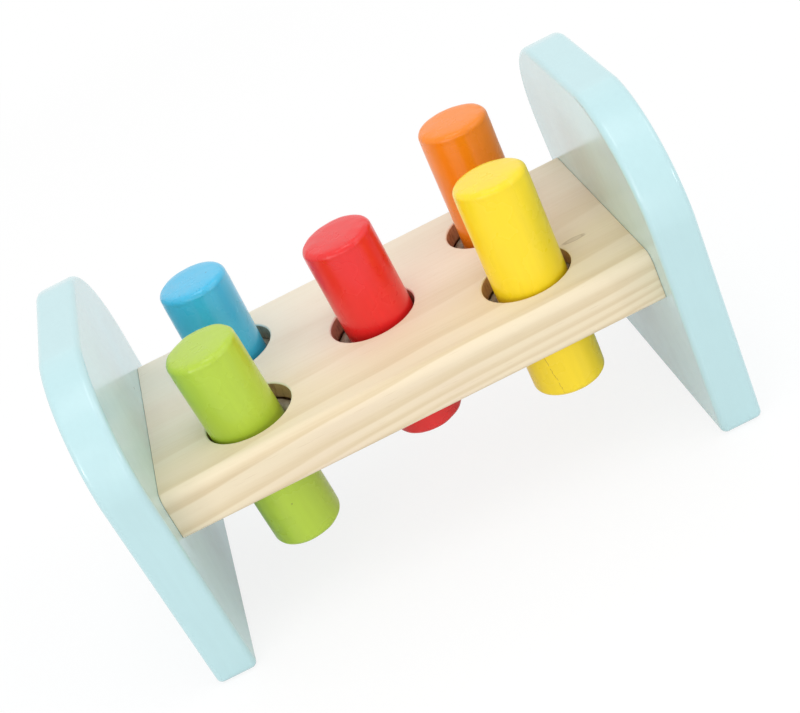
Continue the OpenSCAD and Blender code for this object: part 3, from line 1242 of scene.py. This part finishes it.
@dataclass
class Peg:
    """One turned peg with hand-rounded ends, in its place and lean."""

    colour: PegColour
    radius: float = PEG_RADIUS
    length: float = 80 * MM
    crown_in: float = 4.2 * MM
    crown_drop: float = 1.1 * MM
    crown_ease: float = 2.0 * MM
    crown_steps: int = 4
    rim_ease: float = 1.8 * MM
    rim_steps: int = 7
    long_edge: float = 20 * MM
    wall_cuts: int = 20
    end_cuts: int = 5

    # Wear: how deep it goes, how far it reaches from an end and how broad its dents are
    rim_wear: float = 0.34 * MM
    body_wear: float = 0.07 * MM
    wear_reach: float = 5.5 * MM
    broad_dent: float = 9 * MM
    broad_share: float = 1.1
    close_dent: float = 3.6 * MM
    close_share: float = 0.6
    flat_start: float = 1.25
    flat_fall: float = 1.2
    flat_spared: float = 0.75
    seed_steps: Point = (3.7, 1.3, 0.7)

    @property
    def body(self) -> str:
        """Name of the peg's body and node."""
        return f"{self.colour.value}_peg"

    def centre(self) -> Vector:
        """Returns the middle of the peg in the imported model."""
        low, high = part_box(self.body)
        return (low + high) / 2

    def axis(self) -> Vector:
        """Returns the peg's axis, up through the board."""
        return Vector(next(j["axis"] for j in frame["joints"] if j["child"] == self.body)).normalized()

    def turn(self) -> Matrix:
        """Returns the turn from upright to the peg's lean."""
        return Vector((0, 0, 1)).rotation_difference(self.axis()).to_matrix()

    def _wear(self, work: Workpiece) -> None:
        """Sands the turned peg a little unevenly, only ever inwards.

        Args:
            work: The piece in the making, upright around the origin.
        """
        work.bm.normal_update()
        name, (by_length, by_first, by_last) = self.colour.value, self.seed_steps
        seed = Vector((len(name) * by_length, ord(name[0]) * by_first, ord(name[-1]) * by_last))
        moves = []
        for vert in work.bm.verts:
            co = vert.co
            end = max(0.0, (abs(co.z) - self.length / 2 + self.wear_reach) / self.wear_reach)
            flat = self.flat_start - math.hypot(co.x, co.y) / self.radius * self.flat_fall
            spared = self.flat_spared * max(0.0, min(1.0, flat))
            broad = noise.noise(co / self.broad_dent + seed)
            close = noise.noise(co / self.close_dent - seed)
            dent = max(-1.0, min(1.0, self.broad_share * broad + self.close_share * close))
            depth = self.body_wear + self.rim_wear * min(1.0, end) * (1.0 - spared)
            moves.append((vert, vert.normal * (-depth * (1 + dent) / 2)))
        for vert, move in moves:
            vert.co += move

    def build(self, finish: bpy.types.Material) -> bpy.types.Object:
        """Turns the peg, wears its ends, stands it in its hole and dresses it.

        Args:
            finish: The peg's paint.

        Returns:
            The finished peg.
        """
        work = Workpiece(f"{self.colour.value}_turned_peg")
        bm, half = work.bm, self.length / 2
        crown, rim = (self.crown_ease, self.crown_steps), (self.rim_ease, self.rim_steps)
        crown_radius, rim_height = self.radius - self.crown_in, half - self.crown_drop
        corners = [
            Corner(Vector((0, 0, -half))),
            Corner(Vector((crown_radius, 0, -half)), *crown),
            Corner(Vector((self.radius, 0, -rim_height)), *rim),
            Corner(Vector((self.radius, 0, rim_height)), *rim),
            Corner(Vector((crown_radius, 0, half)), *crown),
            Corner(Vector((0, 0, half))),
        ]
        outline = work.section(corners, lambda edge: all(abs(v.co.x) < NEAR for v in edge.verts))
        wall = [e for e in outline if e.calc_length() > self.long_edge]
        ends = [e for e in outline if any(abs(v.co.x) < NEAR for v in e.verts)]
        bmesh.ops.subdivide_edges(bm, edges=wall, cuts=self.wall_cuts)
        bmesh.ops.subdivide_edges(bm, edges=ends, cuts=self.end_cuts)
        work.spin(list(bm.edges), Vector((0, 0, 0)), (0, 0, 1), FINE_TURN)
        bmesh.ops.recalc_face_normals(bm, faces=list(bm.faces))
        self._wear(work)
        stand = Matrix.Translation(self.centre()) @ self.turn().to_4x4()
        bmesh.ops.transform(bm, matrix=stand, verts=list(bm.verts))
        return work.finish(self.body, self.body, f"{self.colour.value}_paint", finish, crease=60.0)


# Paints


@dataclass(frozen=True)
class PegCoat:
    """What sets one peg's paint apart, with places in the peg's own millimetres."""

    colour: Rgba
    blisters: float
    lacquer: float = 0.0
    flecks: tuple[Fleck, ...] = ()
    crack: Optional[Crack] = None


class PaintShelf:
    """The paints of the end boards and the pegs."""

    AQUA = tint(187, 221, 225)
    END_SPECK = Fleck((-86.0, 18.1, 77.0), 0.5, tint(120, 140, 140))
    BLUE_SPECK = Fleck((6.1, -1.3, 40.0), 0.4, tint(58, 140, 176))
    GREEN_SPECK = Fleck((-0.1, -12.6, -21.95), 0.32, tint(122, 140, 48))
    YELLOW_CRACK = Crack(
        direction=(0.857, -0.515, 0.138), offset=3.89, facing=(-0.515, -0.857, 0.0),
        low=-38.5, high=-18.0, colour=tint(166, 126, 24),
    )
    COATS = {
        PegColour.BLUE: PegCoat(tint(58, 186, 228), blisters=5.0, lacquer=0.4, flecks=(BLUE_SPECK,)),
        PegColour.GREEN: PegCoat(tint(178, 206, 60), blisters=1.5, lacquer=0.08, flecks=(GREEN_SPECK,)),
        PegColour.RED: PegCoat(tint(230, 36, 36), blisters=2.0, lacquer=0.08),
        PegColour.ORANGE: PegCoat(tint(245, 134, 14), blisters=1.2),
        PegColour.YELLOW: PegCoat(tint(249, 218, 32), blisters=0.6, crack=YELLOW_CRACK),
    }

    def end_paint(self, effects: Effects) -> bpy.types.Material:
        """Makes the aqua paint of both end boards.

        Args:
            effects: The shared effects.

        Returns:
            The paint.
        """
        finish = PaintFinish(
            "aqua_satin_paint", self.AQUA, unevenness=0.05, gloss=0.22, coat=0.45, coat_rough=0.18,
            flecks=(self.END_SPECK,),
        )
        return finish.material(effects)

    def peg_paint(self, peg: Peg, effects: Effects) -> bpy.types.Material:
        """Makes the paint of one peg, set to the peg's own frame.

        Args:
            peg: The peg that is painted.
            effects: The shared effects.

        Returns:
            The paint.
        """
        own = self.COATS[peg.colour]
        finish = PaintFinish(
            f"{peg.colour.value}_gloss_paint", own.colour, unevenness=0.14, gloss=0.28, coat=own.lacquer,
            centre=tuple(peg.centre()), turn=tuple(peg.turn().to_euler("XYZ")), flecks=own.flecks,
            crack=own.crack, blisters=own.blisters, end_from=36.0,
        )
        return finish.material(effects)


# Studio


@dataclass(frozen=True)
class Softbox:
    """One square white lamp that points at the bench."""

    name: str
    place: Point
    size: float
    power: float


@dataclass
class Studio:
    """A white room with soft lamps, and the camera at the picture's viewing angle."""

    target: Point = (0.0, 0.0, 60 * MM)
    ambient: float = 0.83
    softboxes: tuple[Softbox, ...] = (
        Softbox("front_left_softbox", (-0.85, -1.1, 0.5), 0.9, 3.0),
        Softbox("front_low_softbox", (0.0, -1.3, 0.15), 0.6, 1.2),
        Softbox("right_softbox", (1.0, -0.3, 1.1), 0.7, 2.0),
        Softbox("left_strobe", (-1.1, -0.83, 0.3), 0.16, 1.2),
        Softbox("right_strobe", (1.1, -0.83, 0.3), 0.16, 1.2),
        Softbox("overhead_softbox", (0.0, -0.3, 1.35), 0.6, 2.4),
        Softbox("back_softbox", (0.0, 0.9, 1.0), 0.8, 0.5),
    )

    # The floor: its greys, and how white it is near the bench and from how far it is all white
    floor_half: float = 4.0
    floor_drop: float = 0.05 * MM
    floor_bounce: float = 0.72
    floor_seen: float = 0.97
    near_white: float = 0.82
    near_gloss: float = 0.42
    white_between: Span = (0.2, 0.8)

    # The camera, fitted to the picture, with its turn as an XYZ Euler in degrees
    camera_place: Point = (0.23 * MM, -467.57 * MM, 312.72 * MM)
    camera_turn: Point = (57.8483, 23.6232, -12.6299)
    focal_pixels: float = 1546.0
    shift_pixels: Span = (-37.5, 16.5)
    picture_width: float = 800.0
    sensor: float = 36.0
    clip: Span = (0.01, 50.0)

    def _seen_white(self, w: Wiring) -> Socket:
        """Finds the rays that look at the white room: from the camera, gloss or glass.

        Args:
            w: The wiring of the world or of the floor's material.

        Returns:
            1 for such a ray, and else 0.
        """
        rays = w.add("ShaderNodeLightPath").outputs
        seen = w.math("MAXIMUM", rays["Is Camera Ray"], rays["Is Glossy Ray"])
        return w.math("MAXIMUM", seen, rays["Is Transmission Ray"])

    def build_world(self) -> None:
        """Makes the room around the bench: white to look at, a little dimmer as a light."""
        world = bpy.data.worlds.new("white_room")
        bpy.context.scene.world = world
        w = empty_tree(world)
        strength = w.rise(self._seen_white(w), 0.0, 1.0, self.ambient, 1.0)
        back = w.add("ShaderNodeBackground", {"Color": grey(1.0), "Strength": strength})
        w.add("ShaderNodeOutputWorld", {"Surface": back.outputs[0]})

    def _floor_look(self) -> bpy.types.Material:
        """Makes the floor's white, which keeps a soft shadow and is clear from below.

        Returns:
            The floor's material.
        """
        material = bpy.data.materials.new("white_floor")
        w = empty_tree(material)
        far = w.reach(w.add("ShaderNodeTexCoord").outputs["Object"])
        glossy = w.add("ShaderNodeLightPath").outputs["Is Glossy Ray"]
        near = w.rise(glossy, 0.0, 1.0, self.near_white, self.near_gloss)
        seen = self._seen_white(w)
        share = w.times(seen, w.math("MAXIMUM", near, w.rise(far, *self.white_between)))
        pale = w.blend(seen, grey(self.floor_bounce), grey(self.floor_seen))
        matt = w.add("ShaderNodeBsdfDiffuse", {"Color": pale})
        glow = w.add("ShaderNodeEmission", {"Color": grey(1.0), "Strength": 1.0})
        both = w.add("ShaderNodeMixShader", {0: share, 1: matt.outputs[0], 2: glow.outputs[0]})
        below = w.add("ShaderNodeNewGeometry").outputs["Backfacing"]
        clear = w.add("ShaderNodeBsdfTransparent")
        look = w.add("ShaderNodeMixShader", {0: below, 1: both.outputs[0], 2: clear.outputs[0]})
        w.add("ShaderNodeOutputMaterial", {"Surface": look.outputs[0]})
        return material

    def build_floor(self) -> None:
        """Lays the floor just under the feet."""
        bm = bmesh.new()
        bmesh.ops.create_grid(bm, x_segments=1, y_segments=1, size=self.floor_half)
        bmesh.ops.translate(bm, verts=list(bm.verts), vec=(0, 0, -self.floor_drop))
        mesh = bpy.data.meshes.new("studio_floor")
        bm.to_mesh(mesh)
        bm.free()
        floor = bpy.data.objects.new("studio_floor", mesh)
        bpy.context.scene.collection.objects.link(floor)
        mesh.materials.append(self._floor_look())
        LOG.info("room and floor made")

    def build_lamps(self) -> None:
        """Hangs the softboxes."""
        for box in self.softboxes:
            lamp = bpy.data.lights.new(box.name, "AREA")
            lamp.shape, lamp.size, lamp.energy = "SQUARE", box.size, box.power
            stand = bpy.data.objects.new(box.name, lamp)
            stand.location = box.place
            aim = Vector(self.target) - Vector(box.place)
            stand.rotation_euler = aim.to_track_quat("-Z", "Y").to_euler()
            bpy.context.scene.collection.objects.link(stand)
            LOG.info("%s hung", box.name)

    def build_camera(self) -> None:
        """Sets the camera up at the picture's viewing angle."""
        lens = bpy.data.cameras.new("picture_camera")
        lens.sensor_fit, lens.sensor_width = "HORIZONTAL", self.sensor
        lens.lens = self.focal_pixels * self.sensor / self.picture_width
        lens.shift_x = -self.shift_pixels[0] / self.picture_width
        lens.shift_y = self.shift_pixels[1] / self.picture_width
        lens.clip_start, lens.clip_end = self.clip
        camera = bpy.data.objects.new("picture_camera", lens)
        turn = Euler([math.radians(angle) for angle in self.camera_turn], "XYZ").to_matrix()
        camera.matrix_world = Matrix.Translation(self.camera_place) @ turn.to_4x4()
        bpy.context.scene.collection.objects.link(camera)
        bpy.context.scene.camera = camera
        LOG.info("camera set up")

    def build(self) -> None:
        """Sets up the whole studio."""
        bpy.context.scene.view_settings.view_transform = "Standard"
        self.build_world()
        self.build_floor()
        self.build_lamps()
        self.build_camera()


def main() -> None:
    """Builds the bench piece by piece and sets up the studio."""
    logging.basicConfig(level=logging.INFO, format="%(name)s: %(message)s")
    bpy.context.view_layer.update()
    Studio().build()
    effects, shelf, joint = Effects(), PaintShelf(), DowelJoint()
    BenchBoard().build(PineFinish().material(effects), joint)
    end_paint = shelf.end_paint(effects)
    for side in Side:
        EndBoard(side).build(end_paint, joint)
    rubber = RubberFinish().material()
    for colour in PegColour:
        GripRing(colour).build(rubber)
        peg = Peg(colour)
        peg.build(shelf.peg_paint(peg, effects))
    joint.dress(effects)


if __name__ == "__main__":
    main()
